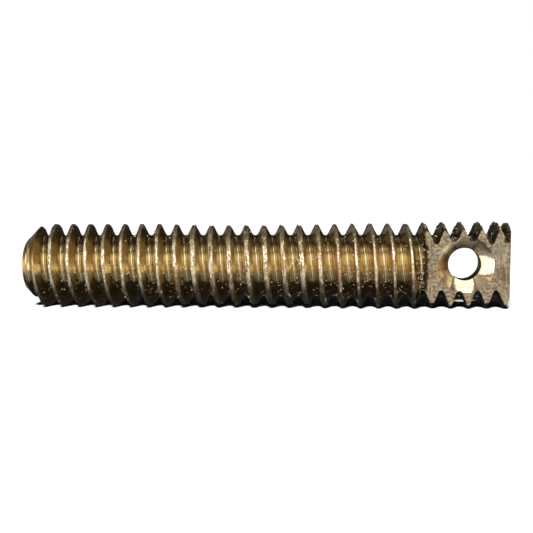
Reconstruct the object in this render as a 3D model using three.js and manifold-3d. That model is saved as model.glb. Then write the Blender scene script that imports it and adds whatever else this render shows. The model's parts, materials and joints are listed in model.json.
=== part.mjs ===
// Worm screw: one solid brass piece, cut with a single-start right-hand thread along its whole length.
// One end is plain, with a lead-in chamfer. The other is milled to a flat tang with a countersunk cross hole.
//
// Millimetres. X is the screw's axis and +X points to the tang. The tang's two flats face -Y and +Y.
// The origin is on the axis, half way along the screw.
import * as THREE from "three";
import { mergeVertices } from "three/addons/utils/BufferGeometryUtils.js";
import Module from "manifold-3d";

// Driving dimensions.
const PITCH = 1.27; // 20 threads to the inch
const MAJOR_DIAMETER = 5.95; // over the flattened crests of a quarter-inch, 20 to the inch thread
const LENGTH = 34.6;
const FLANK_ANGLE = THREE.MathUtils.degToRad(30); // of each flank, from square to the axis
const CREST_WIDTH = 0.10 * PITCH;
const ROOT_WIDTH = 0.23 * PITCH;
const END_TO_CREST = 0.635 * PITCH; // from the tang's end to the nearest whole crest, on the top line
const CHAMFER_LENGTH = 1.1; // the plain end's 45 degree lead-in
const TANG_THICKNESS = 2.9;
const TANG_LENGTH = 5.95;
const HOLE_DIAMETER = 2.3;
const HOLE_FROM_END = 3.05;
const HOLE_ABOVE_AXIS = 0.15; // the hole is drilled slightly off the tang's centre line
const COUNTERSINK_DIAMETER = 4.0; // where the 90 degree countersink meets the tang's face
const AROUND = 32; // facets in a full turn
const CLEAR = 1; // how far a cutting solid runs past what it cuts

// Sizes that follow from them.
const CREST_RADIUS = MAJOR_DIAMETER / 2;
const FLANK_WIDTH = (PITCH - CREST_WIDTH - ROOT_WIDTH) / 2;
const ROOT_RADIUS = CREST_RADIUS - FLANK_WIDTH / Math.tan(FLANK_ANGLE);
const TANG_END = LENGTH / 2;
const PLAIN_END = -LENGTH / 2;

const wasm = await Module();
wasm.setup();

// A closed three.js geometry as a manifold-3d solid.
function toSolid(geometry) {
  const bare = geometry.clone();
  bare.deleteAttribute("normal");
  bare.deleteAttribute("uv");
  const merged = mergeVertices(bare, 1e-4);
  return new wasm.Manifold(
    new wasm.Mesh({
      numProp: 3,
      vertProperties: merged.attributes.position.array,
      triVerts: new Uint32Array(merged.index.array),
    }),
  );
}

// A manifold-3d solid as a three.js geometry.
function toGeometry(solid) {
  const mesh = solid.getMesh();
  const geometry = new THREE.BufferGeometry();
  geometry.setAttribute("position", new THREE.BufferAttribute(mesh.vertProperties, 3));
  geometry.setIndex(new THREE.BufferAttribute(mesh.triVerts, 1));
  geometry.computeVertexNormals();
  return geometry;
}

// A threaded bar with ragged ends, at least a pitch too long at both. Its rows of vertices run round the
// helix, one row for each corner of the thread's profile, so every edge of the thread is a row.
function threadedBar() {
  const corners = [
    { along: -CREST_WIDTH / 2, radius: CREST_RADIUS },
    { along: CREST_WIDTH / 2, radius: CREST_RADIUS },
    { along: PITCH / 2 - ROOT_WIDTH / 2, radius: ROOT_RADIUS },
    { along: PITCH / 2 + ROOT_WIDTH / 2, radius: ROOT_RADIUS },
  ];
  const turns = Math.ceil(LENGTH / PITCH) + 4;
  const start = TANG_END - END_TO_CREST - (turns - 3) * PITCH;
  const last = turns * corners.length;

  // Angle runs from +Z towards -Y, and a row moves one pitch towards +X in a turn: a right-hand thread.
  const vertex = (row, column) => {
    const corner = corners[row % corners.length];
    const turn = Math.floor(row / corners.length) + column / AROUND;
    const angle = (column / AROUND) * 2 * Math.PI;
    return new THREE.Vector3(
      start + turn * PITCH + corner.along,
      -corner.radius * Math.sin(angle),
      corner.radius * Math.cos(angle),
    );
  };

  const triangles = [];
  for (let row = 0; row < last; row++)
    for (let column = 0; column < AROUND; column++) {
      const a = vertex(row, column);
      const b = vertex(row, column + 1);
      const c = vertex(row + 1, column + 1);
      const d = vertex(row + 1, column);
      triangles.push(a, b, c, a, c, d);
    }

  // Each end is closed by a fan from the axis to its helical edge and to the step in that edge.
  const startHub = new THREE.Vector3(start + PITCH / 2, 0, 0);
  const endHub = new THREE.Vector3(start + (turns + 0.5) * PITCH, 0, 0);
  for (let column = 0; column < AROUND; column++) {
    triangles.push(startHub, vertex(0, column + 1), vertex(0, column));
    triangles.push(endHub, vertex(last, column), vertex(last, column + 1));
  }
  for (let step = 0; step < corners.length; step++) {
    const row = last - corners.length + step;
    triangles.push(startHub, vertex(step, 0), vertex(step + 1, 0));
    triangles.push(endHub, vertex(row + 1, AROUND), vertex(row, AROUND));
  }
  return toSolid(new THREE.BufferGeometry().setFromPoints(triangles));
}

// A solid of revolution. Each point is [distance from the axis, place along +Y].
function turned(points) {
  const profile = points.map(([radius, along]) => new THREE.Vector2(radius, along));
  return new THREE.LatheGeometry(profile, AROUND);
}

// What the ends are faced and chamfered to. The chamfer starts inside the thread's root, and so its cone
// runs out through the first thread.
function barOutline() {
  const outline = turned([
    [0, PLAIN_END],
    [CREST_RADIUS - CHAMFER_LENGTH, PLAIN_END],
    [CREST_RADIUS + CLEAR, PLAIN_END + CHAMFER_LENGTH + CLEAR],
    [CREST_RADIUS + CLEAR, TANG_END],
    [0, TANG_END],
  ]);
  return toSolid(outline.rotateZ(-Math.PI / 2)); // +Y along the outline becomes +X
}

// What is milled away beside the tang, on the side that side = -1 or 1 gives.
function besideTang(side) {
  const depth = CREST_RADIUS - TANG_THICKNESS / 2 + CLEAR;
  const box = new THREE.BoxGeometry(TANG_LENGTH + CLEAR, depth, MAJOR_DIAMETER + 2 * CLEAR);
  box.translate(TANG_END - TANG_LENGTH + (TANG_LENGTH + CLEAR) / 2, side * (TANG_THICKNESS + depth) / 2, 0);
  return toSolid(box);
}

// The cross hole with a countersink at both faces, along Y.
function crossHole() {
  const face = TANG_THICKNESS / 2;
  const holeRadius = HOLE_DIAMETER / 2;
  const sinkRadius = COUNTERSINK_DIAMETER / 2;
  const throat = face - (sinkRadius - holeRadius);
  const hole = turned([
    [0, -face - CLEAR],
    [sinkRadius + CLEAR, -face - CLEAR],
    [holeRadius, -throat],
    [holeRadius, throat],
    [sinkRadius + CLEAR, face + CLEAR],
    [0, face + CLEAR],
  ]);
  return toSolid(hole.translate(TANG_END - HOLE_FROM_END, 0, HOLE_ABOVE_AXIS));
}

const brass = new THREE.MeshStandardMaterial({ color: 0xb08a45, roughness: 0.3, metalness: 1 });

const screw = threadedBar()
  .intersect(barOutline())
  .subtract(besideTang(-1))
  .subtract(besideTang(1))
  .subtract(crossHole());

const wormScrew = new THREE.Mesh(toGeometry(screw), brass);
wormScrew.name = "worm_screw";

const group = new THREE.Group();
group.add(wormScrew);
export default group;
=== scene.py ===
"""Looks for the worm screw: a fine-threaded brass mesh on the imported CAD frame, its materials and a studio.

Lengths are in metres, and the materials count in millimetres. X is the screw's axis, +X points to the tang,
and the camera is on the -Y side. An angle round the screw runs from +Z (top) towards -Y (front), as the
right-hand thread does.
"""
import json
import math
from collections import namedtuple

import bpy
import numpy as np
from mathutils import Matrix, Vector


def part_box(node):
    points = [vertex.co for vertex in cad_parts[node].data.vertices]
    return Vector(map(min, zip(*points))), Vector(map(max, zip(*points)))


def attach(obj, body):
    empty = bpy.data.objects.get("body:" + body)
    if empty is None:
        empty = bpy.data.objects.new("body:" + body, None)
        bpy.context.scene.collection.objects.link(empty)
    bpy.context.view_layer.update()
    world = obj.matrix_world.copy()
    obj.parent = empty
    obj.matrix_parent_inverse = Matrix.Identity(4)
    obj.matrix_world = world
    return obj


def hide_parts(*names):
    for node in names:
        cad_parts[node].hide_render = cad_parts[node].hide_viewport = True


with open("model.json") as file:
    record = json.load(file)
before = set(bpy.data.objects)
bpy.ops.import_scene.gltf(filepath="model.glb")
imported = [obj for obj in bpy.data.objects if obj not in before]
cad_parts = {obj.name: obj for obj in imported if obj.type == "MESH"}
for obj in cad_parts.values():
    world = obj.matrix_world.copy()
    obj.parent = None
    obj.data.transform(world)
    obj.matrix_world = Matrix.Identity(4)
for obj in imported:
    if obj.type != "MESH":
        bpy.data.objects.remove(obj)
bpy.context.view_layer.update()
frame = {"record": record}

MM = 0.001
NODE = "worm_screw"
mounts = {m["name"]: Vector(m["pos_m"]) for m in frame["record"]["mounts"]}
low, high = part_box(NODE)

# The frame's own sizes.
CREST_RADIUS = (high.z - low.z) / 2
PLAIN_END = mounts["plain_end_face"].x
TANG_END = mounts["tang_end_face"].x
HALF_TANG = mounts["tang_back_flat"].y

# The CAD's driving dimensions that its box doesn't show.
PITCH = 1.27 * MM
THREAD_DEPTH = 0.75 * MM
TANG_LENGTH = 5.95 * MM
HOLE_RADIUS = 1.15 * MM
HOLE_FROM_END = 3.05 * MM
HOLE_ABOVE_AXIS = 0.15 * MM
SINK_RADIUS = 2.0 * MM
CHAMFER_LENGTH = 1.1 * MM
END_TO_CREST = 0.635 * PITCH  # from the tang's end to the nearest whole crest, on the top line

ROOT_RADIUS = CREST_RADIUS - THREAD_DEPTH
HOLE_X = TANG_END - HOLE_FROM_END
SHOULDER_X = TANG_END - TANG_LENGTH

AROUND = 144  # facets in a full turn
SPARE_TURNS = 4  # turns that the bar is made too long by, and that the ends are then cut from
TURNS = math.ceil((TANG_END - PLAIN_END) / PITCH) + SPARE_TURNS
THREAD_START = TANG_END - END_TO_CREST - (TURNS - SPARE_TURNS + 1) * PITCH  # a crest on the top line
CLEAR = 1.0 * MM  # how far a cutting solid runs past what it cuts


def smoothstep(value, start, end):
    """0 before start, 1 after end, and smooth between them."""
    t = np.clip((value - start) / (end - start), 0, 1)
    return t * t * (3 - 2 * t)


def hump(value, centre, width):
    """1 at the centre, and falling smoothly to nearly nothing at twice the width from it."""
    return np.exp(-(((value - centre) / width) ** 2))


def wander(count, period, seed):
    """count values between -1 and 1 that change smoothly, with a random knot every period values."""
    knots = np.random.default_rng(seed).uniform(-1, 1, count // period + 3)
    place = np.arange(count) / period
    before = place.astype(int)
    part = smoothstep(place - before, 0, 1)
    return knots[before] * (1 - part) + knots[before + 1] * part


def mesh_object(name, vertices, faces):
    mesh = bpy.data.meshes.new(name)
    mesh.from_pydata([tuple(v) for v in vertices], [], [tuple(f) for f in faces])
    mesh.validate()
    piece = bpy.data.objects.new(name, mesh)
    bpy.context.scene.collection.objects.link(piece)
    return piece


# ---- The threaded bar ----

LAND = (-0.075, 0.06)  # the crest's flat, in shares of a pitch from the middle of the crest
ROOT = (0.37, 0.64)  # the groove's floor, in the same shares
ROOT_MIDDLE = sum(ROOT) / 2
ROOT_HOLLOW = 0.06 * MM  # how much deeper the middle of the groove's floor is than its edges
CREST_ROUNDING = 0.03 * MM
ROOT_ROUNDING = 0.03 * MM
PROFILE = np.array(  # where the thread is sampled across: closely on the crest, evenly in the groove
    (-0.36, -0.315, -0.21, -0.12, -0.095, -0.07, -0.035, 0.0, 0.035, 0.065, 0.09, 0.12, 0.23, 0.34)
    + (0.37, 0.415, 0.46, 0.505, 0.55, 0.595)
)

WEAR = 0.13 * MM  # how much lower the crests are where they are most worn
WEAR_GROWS = (-7.5 * MM, -4.5 * MM)
WEAR_FADES = (2.5 * MM, 6.0 * MM)

CREST_REACH = 0.13  # damage to a crest fades out this far from its middle, in shares of a pitch
CREST_EDGE = 0.06  # the crest's edges, in the same shares
EDGE_WIDTH = 0.025
DENT = 0.030 * MM  # how deep the dents in the crests are
ROUGHNESS = 0.022 * MM  # and how rough the crests are between them
HORN = 0.05 * MM  # the burrs on the crest's edges
WORN_HORN = 0.08 * MM  # and how much higher they are where the crests are worn
COMB = 0.20 * MM  # the ragged burrs on the tang's teeth
COMB_RANGE = (-0.4, 1)  # from their deepest notch to their highest point, in shares of COMB
COMB_GROWS = (SHOULDER_X - 0.4 * MM, SHOULDER_X)

WOBBLE_PLACE = 0.09  # the sides of the crest that wander along the axis, in shares of a pitch
WOBBLE_WIDTH = 0.05
WOBBLE = 0.032 * MM
TOOL_MARK = 0.002 * MM

BURR_FOOT = TANG_END - 0.48 * MM  # where the burr along the top of the tang's end begins to rise
BURR_TOP = TANG_END - 0.20 * MM  # and where it is as high as a crest
BURR_RAGGED = 0.12 * MM


def worn(x):
    """How worn the crests are at x: 1 in the middle of the bar, 0 towards both ends."""
    return smoothstep(x, *WEAR_GROWS) * (1 - smoothstep(x, *WEAR_FADES))


def crest_radius(x):
    return CREST_RADIUS - WEAR * worn(x)


def profile_radius(share, x):
    """The thread's radius at a share of a pitch from its crest, with a rounded root and crest edges."""
    place = (share - LAND[0]) % 1 + LAND[0]
    right = (place - LAND[1]) / (ROOT[0] - LAND[1])
    left = (1 + LAND[0] - place) / (1 + LAND[0] - ROOT[1])
    flank = CREST_RADIUS - THREAD_DEPTH * np.where(place < ROOT_MIDDLE, right, left)
    across = np.clip((place - ROOT_MIDDLE) / (ROOT[1] - ROOT_MIDDLE), -1, 1)
    groove = ROOT_RADIUS - ROOT_HOLLOW * (1 - across**2)
    tooth = -CREST_ROUNDING * np.logaddexp(-flank / CREST_ROUNDING, -crest_radius(x) / CREST_ROUNDING)
    return ROOT_ROUNDING * np.logaddexp(tooth / ROOT_ROUNDING, groove / ROOT_ROUNDING)


def threaded_bar():
    """The bar, more than a pitch too long at both ends: a strip along the helix, sewn to itself."""
    columns = TURNS * AROUND + 1
    angle = (np.arange(columns) * 2 * math.pi / AROUND)[:, None]
    crest_x = THREAD_START + np.arange(columns) * PITCH / AROUND
    x = crest_x[:, None] + PROFILE[None, :] * PITCH
    radius = np.maximum(profile_radius(PROFILE[None, :], x), end_burr(x, angle, columns))
    radius += crest_damage(x, columns)
    x = x + edge_wobble(columns)
    points = np.stack([x, -radius * np.sin(angle), radius * np.cos(angle)], axis=-1)
    width = len(PROFILE)
    vertices = points.reshape(-1, 3).tolist()

    def at(column, corner):
        return (column + AROUND) * width if corner == width else column * width + corner

    faces = []
    for column in range(columns - 1):
        ahead = column + 1
        sewn = width if ahead + AROUND < columns else width - 1
        for corner in range(sewn):
            face = (at(column, corner), at(ahead, corner), at(ahead, corner + 1), at(column, corner + 1))
            faces.append(face)
    start_hub = len(vertices)
    vertices.append((THREAD_START + PITCH / 2, 0, 0))
    end_hub = len(vertices)
    vertices.append((THREAD_START + (TURNS - 0.5) * PITCH, 0, 0))
    for column in range(AROUND):
        faces.append((start_hub, at(column + 1, 0), at(column, 0)))
        last = columns - 1 - AROUND + column
        faces.append((end_hub, at(last, width - 1), at(last + 1, width - 1)))
    for corner in range(width):
        faces.append((start_hub, at(0, corner), at(0, corner + 1)))
        if corner < width - 1:
            faces.append((end_hub, at(columns - 1, corner + 1), at(columns - 1, corner)))
    faces.append((end_hub, at(columns - 1, 0), at(columns - 1 - AROUND, width - 1)))
    return mesh_object("threaded_bar", vertices, faces)


def crest_damage(x, columns):
    """Pits, dents and raised burrs on the crests, as a change of radius."""
    on_crest = np.clip(1 - np.abs(PROFILE) / CREST_REACH, 0, 1)
    edges = hump(np.abs(PROFILE), CREST_EDGE, EDGE_WIDTH)
    fine = wander(columns, 2, seed=1)[:, None]
    dents = np.clip(wander(columns, 5, seed=2), 0, 1)[:, None] ** 2
    burrs = burr_stretches(columns, 3) * (PROFILE < 0) + burr_stretches(columns, 5) * (PROFILE > 0)
    horns = (HORN + WORN_HORN * worn(x)) * edges * burrs
    comb = np.clip(wander(columns, 2, seed=7), *COMB_RANGE)[:, None] * smoothstep(x, *COMB_GROWS)
    return (ROUGHNESS * fine - DENT * dents + COMB * comb) * on_crest + horns


def burr_stretches(columns, seed):
    """How high the burrs along one edge of the crest are, from 0 to 1. They come in long stretches."""
    return np.clip(wander(columns, 3, seed) + 0.5 * wander(columns, 40, seed + 1), 0, 1)[:, None]


def end_burr(x, angle, columns):
    """The radius that the ragged burr along the top of the tang's end reaches."""
    rise = smoothstep(x, BURR_FOOT, BURR_TOP)
    ragged = BURR_RAGGED * wander(columns, 2, seed=10)[:, None]
    foot_radius = ROOT_RADIUS - ROOT_HOLLOW
    reach = foot_radius + (CREST_RADIUS - foot_radius + ragged) * rise
    return np.where(np.cos(angle) > 0, reach, 0.0)


def edge_wobble(columns):
    """How far each edge of the crest wanders along the axis, with slight tool marks in the groove."""
    left = wander(columns, 3, seed=8)[:, None] * hump(PROFILE, -WOBBLE_PLACE, WOBBLE_WIDTH)
    right = wander(columns, 3, seed=9)[:, None] * hump(PROFILE, WOBBLE_PLACE, WOBBLE_WIDTH)
    marks = np.stack([wander(columns, 11, seed=20 + corner) for corner in range(len(PROFILE))], axis=-1)
    return WOBBLE * (left + right) + TOOL_MARK * marks


# ---- Cutting solids ----

SINK_TURN = math.radians(-3)  # how far the countersink's chatter flats are turned, seen from the front
CHATTER = 8  # flats round a countersink
FLAT_REACH = 0.975 * SINK_RADIUS  # from the countersink's centre to the middle of a flat's outer edge
BROAD_SLOPE = 0.76  # how steep the broad flats are. The others have slope 1
SINK_SOFTNESS = 0.006 * MM  # how much the edges between flats are rounded
SINK_MARGIN = 0.8 * MM  # how far the cutting solid is wider than a countersink
SINK_RINGS = 9  # rings of vertices from that width down to the hole
HOLE_AROUND = 128  # facets round the hole

# Which face a countersink is in (side), where its centre is from the hole's, and which flats are broad.
Countersink = namedtuple("Countersink", "side right above broad")
FRONT_SINK = Countersink(-1, 0.0, 0.0, (0, 6))
BACK_SINK = Countersink(1, -0.08 * MM, 0.06 * MM, (2, 5))


def turned_outline():
    """What the ends are faced and chamfered to, as a solid of revolution about X."""
    outer = CREST_RADIUS + CLEAR
    stations = [
        (PLAIN_END, CREST_RADIUS - CHAMFER_LENGTH),
        (PLAIN_END + CHAMFER_LENGTH + CLEAR, outer),
        (TANG_END, outer),
    ]
    vertices = []
    for x, radius in stations:
        for column in range(AROUND):
            turn = 2 * math.pi * column / AROUND
            vertices.append((x, -radius * math.sin(turn), radius * math.cos(turn)))
    faces = []
    for ring in range(len(stations) - 1):
        for column in range(AROUND):
            here = ring * AROUND + column
            after = ring * AROUND + (column + 1) % AROUND
            faces.append((here, after, after + AROUND, here + AROUND))
    faces.append(tuple(range(AROUND - 1, -1, -1)))
    last = (len(stations) - 1) * AROUND
    faces.append(tuple(range(last, last + AROUND)))
    return mesh_object("turned_outline", vertices, faces)


def block(name, corner, far_corner):
    xs, ys, zs = zip(corner, far_corner)
    vertices = [(x, y, z) for x in xs for y in ys for z in zs]
    faces = [(0, 1, 3, 2), (4, 6, 7, 5), (0, 4, 5, 1), (2, 3, 7, 6), (0, 2, 6, 4), (1, 5, 7, 3)]
    return mesh_object(name, vertices, faces)


def beside_tang(side):
    """What is milled away beside the tang, on the side that side = -1 or 1 gives."""
    reach = CREST_RADIUS + CLEAR
    near, far = sorted((side * HALF_TANG, side * reach))
    return block("beside_tang", (SHOULDER_X, near, -reach), (TANG_END + CLEAR, far, reach))


def sink_depth(right, above, broad):
    """How deep a countersink is at a place right of and above its centre. Broad flats are less steep."""
    distance = math.hypot(right, above)
    turn = math.atan2(above, right)
    facing = 2 * math.pi * np.arange(CHATTER) / CHATTER + SINK_TURN
    slope = np.ones(CHATTER)
    slope[list(broad)] = BROAD_SLOPE
    flats = (FLAT_REACH - distance * np.cos(turn - facing)) * slope
    depths = np.append(flats, SINK_RADIUS - distance)
    return -SINK_SOFTNESS * np.log(np.sum(np.exp(-depths / SINK_SOFTNESS)))


def sink_point(distance, turn, sink):
    """A point of a countersink, at a distance and an angle from the hole's centre."""
    x = distance * math.cos(turn)
    z = distance * math.sin(turn)
    depth = sink_depth(x - sink.right, z - sink.above, sink.broad)
    return (HOLE_X + x, sink.side * (HALF_TANG - depth), HOLE_ABOVE_AXIS + z)


def cross_hole():
    """The cross hole along Y with its two countersinks."""
    columns = HOLE_AROUND
    turns = [2 * math.pi * column / columns for column in range(columns)]
    inwards = np.linspace(SINK_RADIUS + SINK_MARGIN, HOLE_RADIUS, SINK_RINGS)
    rings = [[sink_point(distance, turn, FRONT_SINK) for turn in turns] for distance in inwards]
    rings += [[sink_point(distance, turn, BACK_SINK) for turn in turns] for distance in reversed(inwards)]
    vertices = [point for ring in rings for point in ring]
    faces = []
    for ring in range(len(rings) - 1):
        for column in range(columns):
            here = ring * columns + column
            after = ring * columns + (column + 1) % columns
            faces.append((here, here + columns, after + columns, after))
    first_hub = len(vertices)
    vertices.append((HOLE_X, -HALF_TANG - CLEAR, HOLE_ABOVE_AXIS))
    last_hub = len(vertices)
    vertices.append((HOLE_X, HALF_TANG + CLEAR, HOLE_ABOVE_AXIS))
    last = (len(rings) - 1) * columns
    for column in range(columns):
        after = (column + 1) % columns
        faces.append((first_hub, column, after))
        faces.append((last_hub, last + after, last + column))
    return mesh_object("cross_hole", vertices, faces)


def cut(piece, tool, operation):
    """Cuts piece with tool, or keeps only what is inside tool, and removes tool."""
    modifier = piece.modifiers.new("cut", "BOOLEAN")
    modifier.operation = operation
    modifier.solver = "MANIFOLD"
    modifier.object = tool
    bpy.context.view_layer.update()
    evaluated = piece.evaluated_get(bpy.context.evaluated_depsgraph_get())
    result = bpy.data.meshes.new_from_object(evaluated)
    piece.modifiers.clear()
    piece.data = result
    bpy.data.objects.remove(tool)


# ---- Swarf ----

GROOVES = (PLAIN_END + CHAMFER_LENGTH, SHOULDER_X)
BEFORE_SHOULDER = (SHOULDER_X - 0.35 * MM, SHOULDER_X - 0.03 * MM)
ON_TANG = (SHOULDER_X, TANG_END - 0.1 * MM)
CRUMBS = (  # count, range along X, range of angles in degrees, seed
    (380, GROOVES, (88, 150), 31),
    (90, GROOVES, (20, 90), 32),
    (300, GROOVES, (150, 380), 33),
    (70, BEFORE_SHOULDER, (40, 140), 34),
    (24, BEFORE_SHOULDER, (220, 320), 35),
    (70, ON_TANG, (-26, 27), 36),
)
CRUMB_SIZE = 0.028 * MM
CRUMB_SPREAD = 0.050 * MM  # how much bigger the largest crumbs are
CRUMB_CORNERS = (0.5, 1.5)  # from its nearest to its farthest corner, in shares of a crumb's size
LONG_CURL_THICKNESS = 0.032 * MM
SHORT_CURL_THICKNESS = 0.014 * MM


def on_thread(x, turn, lift=0.0):
    """The point on the thread's surface at x and an angle round the screw, lifted off it."""
    share = (x - THREAD_START) / PITCH - turn / (2 * math.pi)
    radius = float(profile_radius(np.array(share), np.array(x))) + lift
    return Vector((x, -radius * math.sin(turn), radius * math.cos(turn)))


def crumbs(count, x_range, turn_range, seed):
    """Small sharp crumbs of swarf stuck to the thread, as closed eight-sided solids."""
    rng = np.random.default_rng(seed)
    vertices, faces = [], []
    for _ in range(count):
        centre = on_thread(rng.uniform(*x_range), math.radians(rng.uniform(*turn_range)))
        size = CRUMB_SIZE + CRUMB_SPREAD * rng.uniform() ** 3
        spin = Matrix.Rotation(rng.uniform(0, math.tau), 3, Vector(rng.normal(size=3)).normalized())
        first = len(vertices)
        for axis in range(3):
            for sign in (-1, 1):
                arm = Vector((0, 0, 0))
                arm[axis] = sign * size * rng.uniform(*CRUMB_CORNERS)
                vertices.append(centre + spin @ arm)
        for i in (0, 1):
            for j in (2, 3):
                for k in (4, 5):
                    face = (first + i, first + j, first + k)
                    faces.append(face if (i + j + k) % 2 else face[::-1])
    return vertices, faces


def long_curl(t):
    """Where the long, arched curl of swarf is, as (x, angle in degrees), with t from 0 to 1 along it."""
    return (1.95 + 0.7 * t) * MM, 90 - 6 * t - 17 * math.sin(math.pi * t)


def short_curl(t):
    return (7.15 + 0.4 * t) * MM, 112 + 3 * math.sin(5 * t)


def hair(path, count, thickness):
    """A thin curl of swarf that lies on the thread along path, through count points."""
    sides = 5
    slant = Vector((1, 0.3, 0.2))  # a direction that neither curl runs along
    points = []
    for t in np.linspace(0, 1, count):
        x, turn = path(t)
        points.append(on_thread(x, math.radians(turn), thickness))
    vertices, faces = [], []
    for index, point in enumerate(points):
        ahead = points[min(index + 1, count - 1)] - points[max(index - 1, 0)]
        across = ahead.cross(slant).normalized() * thickness
        for side in range(sides):
            spin = Matrix.Rotation(math.tau * side / sides, 3, ahead.normalized())
            vertices.append(point + spin @ across)
    for index in range(count - 1):
        for side in range(sides):
            here = index * sides + side
            after = index * sides + (side + 1) % sides
            faces.append((here, after, after + sides, here + sides))
    faces.append(tuple(range(sides - 1, -1, -1)))
    last = len(vertices) - sides
    faces.append(tuple(range(last, last + sides)))
    return vertices, faces


def swarf():
    """All crumbs and curls of swarf, as one mesh."""
    parts = [crumbs(*where) for where in CRUMBS]
    parts.append(hair(long_curl, 9, LONG_CURL_THICKNESS))
    parts.append(hair(short_curl, 7, SHORT_CURL_THICKNESS))
    vertices, faces = [], []
    for points, sides in parts:
        first = len(vertices)
        vertices.extend(points)
        faces.extend(tuple(first + corner for corner in side) for side in sides)
    return mesh_object("swarf", vertices, faces)


# ---- Materials ----

# Colours, as shares of red, green and blue light.
FLANK_BROWN = (0.58, 0.455, 0.25)
FLANK_PALE = (0.65, 0.53, 0.315)
FLANK_STAIN = (0.46, 0.35, 0.19)
LAND_TAN = (0.87, 0.76, 0.55)
LAND_PALE = (0.96, 0.91, 0.77)
PIT_BROWN = (0.22, 0.15, 0.06)
# Painted shade: a band on the thread at the shoulder, and the thread's teeth on the tang.
PAINTED_BAR_SHADE = (0.05, 0.035, 0.02)
PAINTED_TOOTH_SHADE = (0.10, 0.07, 0.03)
MILLED_BROWN = (0.22, 0.17, 0.11)
MILLED_PALE = (0.58, 0.51, 0.38)
# Painted shade: beside the shoulder on the tang's flats, and on the burr at the top of the tang's end.
PAINTED_TANG_SHADE = (0.06, 0.045, 0.025)
PAINTED_BURR_SHADE_BLACK = (0.015, 0.012, 0.008)
PAINTED_BURR_SHADE_BROWN = (0.13, 0.11, 0.07)
MARK_GREY = (0.34, 0.34, 0.28)
TURNED_BROWN = (0.66, 0.46, 0.17)
TURNED_PALE = (0.86, 0.66, 0.34)
SINK_TAN = (0.76, 0.60, 0.38)
SINK_PALE = (0.96, 0.88, 0.70)
SINK_STAIN = (0.60, 0.48, 0.34)
# Painted reflections in the countersinks: orange on the left, grey above.
PAINTED_SINK_REFLECTION_ORANGE = (0.42, 0.29, 0.15)
PAINTED_SINK_REFLECTION_GREY = (0.24, 0.26, 0.29)
BORE_BROWN = (0.22, 0.15, 0.07)
BORE_PALE = (0.34, 0.25, 0.12)
SWARF_TAN = (0.80, 0.68, 0.42)
SWARF_PALE = (0.97, 0.90, 0.70)
FLOOR_GREY = (0.86, 0.86, 0.85)
FLOOR_PALE = (0.90, 0.90, 0.89)
WHITE = (1.0, 1.0, 1.0)

NOISE_RANGE = (0.3, 0.7)  # most of a noise's values are between these


class Look:
    """The node tree of a new material or world, with a short way to add nodes. Colours are (r, g, b)."""

    def __init__(self, owner):
        owner.use_nodes = True
        self.owner = owner
        self.tree = owner.node_tree

    def add(self, kind, inputs=(), output=0, **settings):
        """Adds a node, with its inputs as {name or number: value or socket}. Returns one of its outputs."""
        node = self.tree.nodes.new("ShaderNode" + kind)
        for key, value in settings.items():
            setattr(node, key, value)
        for key, value in dict(inputs).items():
            self.put(node.inputs[key], value)
        return node.outputs[output]

    def put(self, socket, value):
        if isinstance(value, bpy.types.NodeSocket):
            self.tree.links.new(value, socket)
        elif socket.type == "RGBA":
            socket.default_value = (*value, 1)
        else:
            socket.default_value = value

    def math(self, operation, *values):
        return self.add("Math", dict(enumerate(values)), operation=operation)

    def vector_math(self, operation, first, second):
        return self.add("VectorMath", {0: first, 1: second}, operation=operation)

    def part(self, vector, axis):
        """A vector's x, y or z, for axis 0, 1 or 2."""
        return self.add("SeparateXYZ", {0: vector}, output=axis)

    def ramp(self, value, start, end, low_value=0.0, high_value=1.0):
        """value from start..end, smoothly mapped to low_value..high_value."""
        inputs = {0: value, 1: start, 2: end, 3: low_value, 4: high_value}
        return self.add("MapRange", inputs, interpolation_type="SMOOTHSTEP")

    def vary(self, noise, low_value=0.0, high_value=1.0):
        """A noise, mapped to low_value..high_value."""
        return self.ramp(noise, *NOISE_RANGE, low_value, high_value)

    def mix(self, share, first, second):
        """A colour between first and second."""
        return self.add("Mix", {0: share, 6: first, 7: second}, output=2, data_type="RGBA")

    def mix_number(self, share, first, second):
        return self.add("Mix", {0: share, 2: first, 3: second}, data_type="FLOAT")

    def noise(self, place, scale, detail=2.0, roughness=0.5):
        inputs = {"Vector": place, "Scale": scale, "Detail": detail, "Roughness": roughness}
        return self.add("TexNoise", inputs)

    def stretched_noise(self, place, scales, detail=2.0):
        """Noise with its own scale along each axis."""
        return self.noise(self.vector_math("MULTIPLY", place, scales), 1.0, detail)

    def bump(self, height, distance, normal=None):
        """A normal for a relief of this height, on top of the normal given."""
        inputs = {"Height": height, "Distance": distance}
        if normal is not None:
            inputs["Normal"] = normal
        return self.add("Bump", inputs)

    def finish(self, color, roughness, normal, metallic=1.0):
        """Fills in the material's surface and returns the material."""
        surface = self.tree.nodes["Principled BSDF"]
        values = {"Base Color": color, "Metallic": metallic, "Roughness": roughness, "Normal": normal}
        for name, value in values.items():
            self.put(surface.inputs[name], value)
        return self.owner


def material_look(name):
    return Look(bpy.data.materials.new(name))


def millimetres(look):
    """The point being shaded, in millimetres in the row frame."""
    place = look.add("TexCoord", output=3)
    return look.add("VectorMath", {0: place, 3: 1 / MM}, operation="SCALE")


def helix_place(look, place):
    """Coordinates that follow the thread: (across the groove, distance from the axis, along the groove)."""
    x, y, z = (look.part(place, axis) for axis in range(3))
    turn = look.math("ARCTAN2", look.math("MULTIPLY", y, -1.0), z)
    across = look.math("SUBTRACT", x, look.math("MULTIPLY", turn, PITCH / MM / (2 * math.pi)))
    squares = look.math("ADD", look.math("MULTIPLY", y, y), look.math("MULTIPLY", z, z))
    radius = look.math("SQRT", squares)
    along = look.math("MULTIPLY", turn, CREST_RADIUS / MM)
    return look.add("CombineXYZ", {0: across, 1: radius, 2: along})


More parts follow.
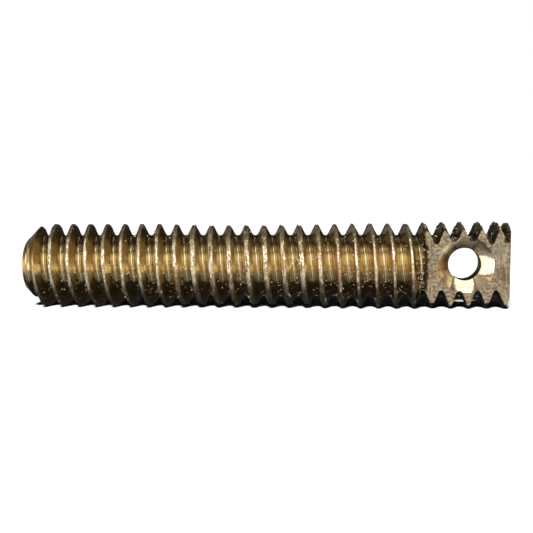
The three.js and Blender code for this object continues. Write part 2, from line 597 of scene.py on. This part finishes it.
def from_hole(look, place, right=0.0, above=0.0):
    """The place from a point right of and above the hole's centre, both in millimetres."""
    centre = (HOLE_X / MM + right, 0.0, HOLE_ABOVE_AXIS / MM + above)
    return look.vector_math("SUBTRACT", place, centre)


def across_face(look, offset):
    """The length of an offset along the tang's face."""
    flat = look.vector_math("MULTIPLY", offset, (1.0, 0.0, 1.0))
    return look.add("VectorMath", {0: flat}, output=1, operation="LENGTH")


def near_axis(look, place, start, end):
    """1 at the height of the axis, 0 more than end millimetres above or below it."""
    return look.ramp(look.math("ABSOLUTE", look.part(place, 2)), start, end, 1.0, 0.0)


# Where the looks change, from the start to the end of each change, in millimetres.
SHOULDER = SHOULDER_X / MM
END = TANG_END / MM
SHADE_BEGINS = (SHOULDER - 0.26, SHOULDER - 0.12)  # along X: the band of painted shade at the shoulder
# along X: where the painted shade beside the shoulder fades out on the tang's flats
SHADE_ENDS = (SHOULDER + 0.20, SHOULDER + 0.30)
BAR_ENDS = SHOULDER + 0.001  # just past the shoulder, so that the bar's last edge counts as the bar
# along X: where the painted shade on the tang's teeth comes in
TANG_TEETH = (SHOULDER, SHOULDER + 0.1)
LEFT_STREAKS_END = (SHOULDER + 0.3, SHOULDER + 0.9)
RIGHT_STREAKS_BEGIN = (END - 1.1, END - 0.7)
# along X: the burr's face at the top of the tang's end, where shade is painted
BURR_FACE = (END - 0.50, END - 0.35)
BAR_SHADE_HEIGHT = (2.0, 2.5)  # above or below the axis
TANG_SHADE_HEIGHT = (1.5, 1.8)
# above the axis: where that painted shade on the burr begins
BURR_HEIGHT = (1.60, 1.80)
LAND_DEPTH = (0.05, 0.11)  # below the crests
ROOT_DEPTH = (0.60, 0.72)
ROUND_MARK = (2.29, 1.09)  # a faint round mark's centre, right of and above the hole's
ROUND_MARK_EDGE = (0.34, 0.42)
# Where the countersinks' painted reflections and painted highlight lie.
SINK_LEFT = (-1.05, -1.45)  # right of the hole's centre
SINK_TOP = (0.3, 1.2)  # above it
SINK_UPPER_LEFT = (2.05, 2.4)  # above and left of it, added up: where the painted highlight lies


def thread_material():
    """Brown flanks, pale pitted crests, a smooth root, and painted shade at the shoulder and on the tang."""
    look = material_look("brass_thread")
    place = millimetres(look)
    x = look.part(place, 0)
    below = look.add("Attribute", output=2, attribute_name="below_crest")
    grain = look.noise(place, 12.0, 3.0, 0.6)
    ragged_depth = look.math("ADD", below, look.vary(grain, -0.06, 0.06))
    crest = look.ramp(ragged_depth, *LAND_DEPTH, 1.0, 0.0)
    root = look.ramp(below, *ROOT_DEPTH)
    streaks = look.stretched_noise(helix_place(look, place), (14.0, 9.0, 0.9), 3.0)
    stains = look.noise(place, 1.3, 3.0)
    to_pit = look.add("TexVoronoi", {"Vector": place, "Scale": 7.0}, feature="F1")
    pit = look.ramp(to_pit, 0.18, 0.38, 1.0, 0.0)

    flank = look.mix(look.ramp(streaks, 0.35, 0.7), FLANK_BROWN, FLANK_PALE)
    flank = look.mix(look.ramp(stains, 0.45, 0.7, 0.0, 0.3), flank, FLANK_STAIN)
    land = look.mix(look.ramp(grain, 0.4, 0.7), LAND_TAN, LAND_PALE)
    land = look.mix(look.math("MULTIPLY", pit, 0.8), land, PIT_BROWN)
    color = look.mix(crest, flank, land)
    # Painted shade: a dark band on the thread just before the shoulder, near the height of the axis.
    ragged_x = look.math("ADD", x, look.vary(grain, -0.12, 0.12))
    near = near_axis(look, place, *BAR_SHADE_HEIGHT)
    painted_shade = look.math("MULTIPLY", look.ramp(ragged_x, *SHADE_BEGINS), near)
    on_bar = look.math("LESS_THAN", x, BAR_ENDS)
    color = look.mix(look.math("MULTIPLY", painted_shade, on_bar), color, PAINTED_BAR_SHADE)
    # Painted shade that darkens the thread's teeth on the tang.
    color = look.mix(look.ramp(x, *TANG_TEETH, 0.0, 0.65), color, PAINTED_TOOTH_SHADE)

    rough = look.mix_number(root, look.vary(streaks, 0.20, 0.26), 0.16)
    rough = look.mix_number(crest, rough, look.vary(grain, 0.25, 0.40))
    normal = look.bump(streaks, 0.0015 * MM)
    normal = look.bump(look.math("MULTIPLY", pit, crest), -0.02 * MM, normal)
    return look.finish(color, rough, normal)


def milled_material():
    """The tang's flats: short cross strokes and blotches, and upright streaks towards both edges.
    Shade is painted beside the shoulder and on the burr's face at the top of the tang's end.
    """
    look = material_look("brass_milled")
    place = millimetres(look)
    x = look.part(place, 0)
    tilted = look.add("Mapping", {0: place, 2: (0, 0.35, 0), 3: (3.4, 3.4, 8.5)})
    strokes = look.noise(tilted, 1.0, 3.0, 0.6)
    upright = look.stretched_noise(place, (13.0, 13.0, 0.8))
    blotches = look.noise(place, 5.0, 3.0, 0.6)
    left = look.ramp(x, *LEFT_STREAKS_END, 1.0, 0.0)
    edges = look.math("MAXIMUM", left, look.ramp(x, *RIGHT_STREAKS_BEGIN))
    lines = look.mix_number(look.math("MULTIPLY", edges, 0.75), strokes, upright)
    marks = look.math("ADD", look.math("MULTIPLY", lines, 0.6), look.math("MULTIPLY", blotches, 0.4))

    color = look.mix(look.ramp(marks, 0.42, 0.58), MILLED_BROWN, MILLED_PALE)
    # Painted shade: a dark band on the tang's flats beside the shoulder, near the height of the axis.
    ragged_x = look.math("ADD", x, look.vary(blotches, -0.08, 0.08))
    near = near_axis(look, place, *TANG_SHADE_HEIGHT)
    painted_shade = look.math("MULTIPLY", look.ramp(ragged_x, *SHADE_ENDS, 1.0, 0.0), near)
    color = look.mix(painted_shade, color, PAINTED_TANG_SHADE)
    # Painted shade on the burr's face at the top of the tang's end: near black, with brown blotches.
    at_top = look.ramp(look.part(place, 2), *BURR_HEIGHT)
    burr = look.math("MULTIPLY", look.ramp(x, *BURR_FACE), at_top)
    color = look.mix(burr, color, look.mix(look.ramp(blotches, 0.45, 0.60), PAINTED_BURR_SHADE_BLACK, PAINTED_BURR_SHADE_BROWN))
    to_mark = across_face(look, from_hole(look, place, *ROUND_MARK))
    color = look.mix(look.ramp(to_mark, *ROUND_MARK_EDGE, 0.65, 0.0), color, MARK_GREY)

    rough = look.vary(blotches, 0.30, 0.46)
    normal = look.bump(lines, 0.030 * MM)
    normal = look.bump(blotches, 0.030 * MM, normal)
    return look.finish(color, rough, normal)


def turned_material():
    """The chamfer and the end faces, with turning marks."""
    look = material_look("brass_turned")
    rings = look.stretched_noise(helix_place(look, millimetres(look)), (9.0, 12.0, 0.4), 3.0)
    color = look.mix(look.ramp(rings, 0.35, 0.7), TURNED_BROWN, TURNED_PALE)
    return look.finish(color, look.vary(rings, 0.20, 0.34), look.bump(rings, 0.012 * MM))


def sink_material():
    """The countersinks: fine rings, a painted orange reflection on the left, a painted grey reflection above,
    and a pale painted highlight at the upper left.
    """
    look = material_look("brass_countersink")
    place = millimetres(look)
    offset = from_hole(look, place)
    distance = across_face(look, offset)
    rings = look.noise(look.add("CombineXYZ", {0: look.math("MULTIPLY", distance, 18.0)}), 1.0)
    grain = look.noise(place, 8.0, 3.0)
    rightwards = look.part(offset, 0)
    upwards = look.part(offset, 2)
    up_and_left = look.math("SUBTRACT", upwards, rightwards)

    color = look.mix(look.ramp(rings, 0.35, 0.65), SINK_TAN, SINK_PALE)
    color = look.mix(look.ramp(grain, 0.45, 0.7, 0.0, 0.3), color, SINK_STAIN)
    # Painted orange reflection on the left of the countersink.
    color = look.mix(look.ramp(rightwards, *SINK_LEFT, 0.0, 0.8), color, PAINTED_SINK_REFLECTION_ORANGE)
    # Painted grey reflection on the upper part of the countersink.
    color = look.mix(look.ramp(upwards, *SINK_TOP, 0.0, 0.85), color, PAINTED_SINK_REFLECTION_GREY)
    # Painted white highlight at the upper left of the countersink.
    color = look.mix(look.ramp(up_and_left, *SINK_UPPER_LEFT, 0.0, 0.8), color, WHITE)
    return look.finish(color, look.vary(grain, 0.16, 0.24), look.bump(rings, 0.008 * MM))


def bore_material():
    """The hole's wall: dark, with rings left by the drill."""
    look = material_look("brass_bore")
    rings = look.stretched_noise(millimetres(look), (1.0, 22.0, 1.0))
    color = look.mix(look.vary(rings), BORE_BROWN, BORE_PALE)
    return look.finish(color, 0.4, look.bump(rings, 0.008 * MM))


def swarf_material():
    """The crumbs and curls: pale, grainy and duller than the rest."""
    look = material_look("brass_swarf")
    grain = look.noise(millimetres(look), 20.0)
    color = look.mix(look.vary(grain), SWARF_TAN, SWARF_PALE)
    return look.finish(color, look.vary(grain, 0.40, 0.60), look.bump(grain, 0.004 * MM), metallic=0.8)


# ---- The worm screw ----

SURFACES = {  # each kind of surface and its material, in the order of the mesh's material slots
    "thread": thread_material,
    "milled": milled_material,
    "turned": turned_material,
    "sink": sink_material,
    "bore": bore_material,
}
SHARP_ANGLE = math.radians(32)  # the mesh is shaded flat across edges sharper than this


def surface_of(centre, normal):
    """Which kind of surface a face of the finished screw belongs to."""
    tiny = 0.003 * MM
    along = 0.99  # a normal's least share along an axis, for a face square to that axis
    sloping = 0.3  # and its least share along Y, for a face of a countersink
    near_sink = 1.25 * SINK_RADIUS
    radius = math.hypot(centre.y, centre.z)
    hole_distance = math.hypot(centre.x - HOLE_X, centre.z - HOLE_ABOVE_AXIS)
    if abs(abs(centre.y) - HALF_TANG) < tiny and abs(normal.y) > along and centre.x > SHOULDER_X:
        return "milled"
    if hole_distance < HOLE_RADIUS + tiny and abs(normal.y) < sloping:
        return "bore"
    if hole_distance < near_sink and abs(centre.y) < HALF_TANG and abs(normal.y) > sloping:
        return "sink"
    if abs(centre.x - SHOULDER_X) < tiny and normal.x > along:
        return "milled"
    if abs(centre.x - TANG_END) < tiny or abs(centre.x - PLAIN_END) < tiny:
        return "turned"
    cone = CREST_RADIUS - CHAMFER_LENGTH + (centre.x - PLAIN_END)
    if centre.x < PLAIN_END + CHAMFER_LENGTH and abs(radius - cone) < tiny:
        return "turned"
    return "thread"


def mark_thread(mesh):
    """Writes how far each vertex is below the crests, in millimetres, for the thread's material."""
    places = np.zeros(len(mesh.vertices) * 3)
    mesh.vertices.foreach_get("co", places)
    x, y, z = places.reshape(-1, 3).T
    below = (crest_radius(x) - np.hypot(y, z)) / MM
    attribute = mesh.attributes.new("below_crest", "FLOAT", "POINT")
    attribute.data.foreach_set("value", below.astype(np.float32))


def worm_screw():
    piece = threaded_bar()
    piece.name = "worm_screw_brass"
    cut(piece, turned_outline(), "INTERSECT")
    cut(piece, beside_tang(-1), "DIFFERENCE")
    cut(piece, beside_tang(1), "DIFFERENCE")
    cut(piece, cross_hole(), "DIFFERENCE")
    mesh = piece.data
    mesh.name = "worm_screw_brass"
    mesh.materials.clear()
    for material in SURFACES.values():
        mesh.materials.append(material())
    slots = list(SURFACES)
    for polygon in mesh.polygons:
        polygon.material_index = slots.index(surface_of(polygon.center, polygon.normal))
    mesh.shade_smooth()
    mesh.set_sharp_from_angle(angle=SHARP_ANGLE)
    mark_thread(mesh)
    bits = swarf()
    bits.data.materials.append(swarf_material())
    with bpy.context.temp_override(active_object=piece, selected_editable_objects=[piece, bits]):
        bpy.ops.object.join()
    piece.visible_diffuse = False  # it throws no light on the floor, so its shadow stays dark
    return piece


screw = worm_screw()
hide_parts(NODE)
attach(screw, "root")


# ---- The studio ----

FLOOR_HALF_SIZE = 2.0
SUN_POWER = 5.4
SUN_ANGLE = math.radians(8)
SUN_TOWARDS = (0.105, 0.664, -0.740)  # from the front and above, so the screw's shadow falls behind it
AMBIENT = 0.02
CORE = 0.6  # the share of a soft box's spread that has its full power

NEUTRAL = (1.0, 0.98, 0.95)
WARM = (1.0, 0.84, 0.58)
AMBER = (1.0, 0.50, 0.10)
COOL = (0.85, 0.96, 1.2)
SOFT_BOXES = (  # azimuth (0 is the front, 90 is +X), elevation and spread in degrees, power, colour
    # The key and two smaller ones, in front and above.
    (8, 29, 27, 1.8, NEUTRAL),
    (-20, 38, 20, 0.6, NEUTRAL),
    (34, 62, 20, 0.5, NEUTRAL),
    # Where the countersink's lower broad flat reflects.
    (22, 66, 11, 1.4, NEUTRAL),
    # A row at about the height of the screw, from left to right. The countersink's right broad flat
    # reflects the third.
    (-101, -2, 14, 1.4, WARM),
    (-84, -2, 14, 2.3, NEUTRAL),
    (-68, -4, 13, 1.2, NEUTRAL),
    (-54, -7, 13, 2.4, NEUTRAL),
    (-40, -7, 13, 1.8, NEUTRAL),
    (-12, 2, 18, 0.85, WARM),
    (18, 0, 18, 0.8, WARM),
    (42, -2, 13, 0.5, WARM),
    (60, -2, 14, 0.8, AMBER),
    # Above and below that row.
    (-86, 22, 18, 1.4, WARM),
    (-50, 18, 14, 0.8, NEUTRAL),
    (-72, -26, 18, 0.6, NEUTRAL),
    (-30, -24, 18, 0.25, NEUTRAL),
    (5, -18, 18, 0.75, NEUTRAL),
    (0, -42, 22, 0.5, COOL),
    (60, 22, 18, 1.1, AMBER),
    (66, -28, 20, 0.3, AMBER),
    # The rest: behind, to the far left and high up.
    (130, 2, 20, 2.5, NEUTRAL),
    (-115, 40, 24, 0.2, WARM),
    (-72, 46, 24, 0.38, WARM),
    (-150, -4, 20, 0.2, NEUTRAL),
    (0, 78, 20, 0.3, WARM),
    (150, 50, 24, 0.2, NEUTRAL),
)

SENSOR_WIDTH = 36  # millimetres, as lens lengths are
LENS = 62.06
EYE = Vector((4.50, -66.16, 7.02)) * MM
AHEAD = Vector((-0.0652, 0.99212, -0.10698))  # to a point near the middle of the screw
UP = Vector((-0.00189, 0.10708, 0.99425))  # the camera is rolled a little


def pale_floor():
    size = FLOOR_HALF_SIZE
    corners = [(-size, -size, low.z), (size, -size, low.z), (size, size, low.z), (-size, size, low.z)]
    piece = mesh_object("floor", corners, [(0, 1, 2, 3)])
    look = material_look("pale_floor")
    mottle = look.noise(look.add("TexCoord", output=3), 90.0)
    surface = look.tree.nodes["Principled BSDF"]
    look.put(surface.inputs["Base Color"], look.mix(mottle, FLOOR_GREY, FLOOR_PALE))
    look.put(surface.inputs["Roughness"], 0.9)
    look.put(surface.inputs["Specular IOR Level"], 0.1)
    piece.data.materials.append(look.owner)
    piece.visible_glossy = False


def floor_light():
    """A broad sun for the floor. The screw doesn't reflect it."""
    data = bpy.data.lights.new("floor_light", "SUN")
    data.energy = SUN_POWER
    data.angle = SUN_ANGLE
    lamp = bpy.data.objects.new("floor_light", data)
    lamp.rotation_euler = Vector(SUN_TOWARDS).to_track_quat("-Z", "Y").to_euler()
    lamp.visible_glossy = False
    bpy.context.scene.collection.objects.link(lamp)


def glow(look, direction, azimuth, elevation, spread, power, color):
    """The light of one soft box in a direction of the world."""
    turn, tilt = math.radians(azimuth), math.radians(elevation)
    towards = (math.sin(turn) * math.cos(tilt), -math.cos(turn) * math.cos(tilt), math.sin(tilt))
    facing = look.add("VectorMath", {0: direction, 1: towards}, output=1, operation="DOT_PRODUCT")
    rim, core = math.cos(math.radians(spread)), math.cos(math.radians(spread * CORE))
    strength = look.ramp(facing, rim, core, 0.0, power)
    return look.add("VectorMath", {0: color, 3: strength}, operation="SCALE")


def studio_world():
    """White to the camera. To everything else, a dark room with soft boxes, which don't light the floor."""
    world = bpy.data.worlds.new("studio")
    world.cycles_visibility.diffuse = False
    bpy.context.scene.world = world
    look = Look(world)
    direction = look.add("TexCoord", output=0)
    total = look.add("CombineXYZ", {axis: AMBIENT for axis in range(3)})
    for soft_box in SOFT_BOXES:
        total = look.vector_math("ADD", total, glow(look, direction, *soft_box))
    by_camera = look.add("LightPath", output=0)
    seen = look.mix(by_camera, total, WHITE)
    look.put(look.tree.nodes["Background"].inputs["Color"], seen)


def camera():
    data = bpy.data.cameras.new("camera")
    data.sensor_width = SENSOR_WIDTH
    data.lens = LENS
    data.clip_start = 1 * MM
    eye = bpy.data.objects.new("camera", data)
    ahead = AHEAD.normalized()
    right = ahead.cross(UP).normalized()
    axes = Matrix((right, right.cross(ahead), -ahead)).transposed()
    eye.matrix_world = Matrix.Translation(EYE) @ axes.to_4x4()
    bpy.context.scene.collection.objects.link(eye)
    bpy.context.scene.camera = eye


pale_floor()
floor_light()
studio_world()
camera()
bpy.context.scene.view_settings.view_transform = "Standard"
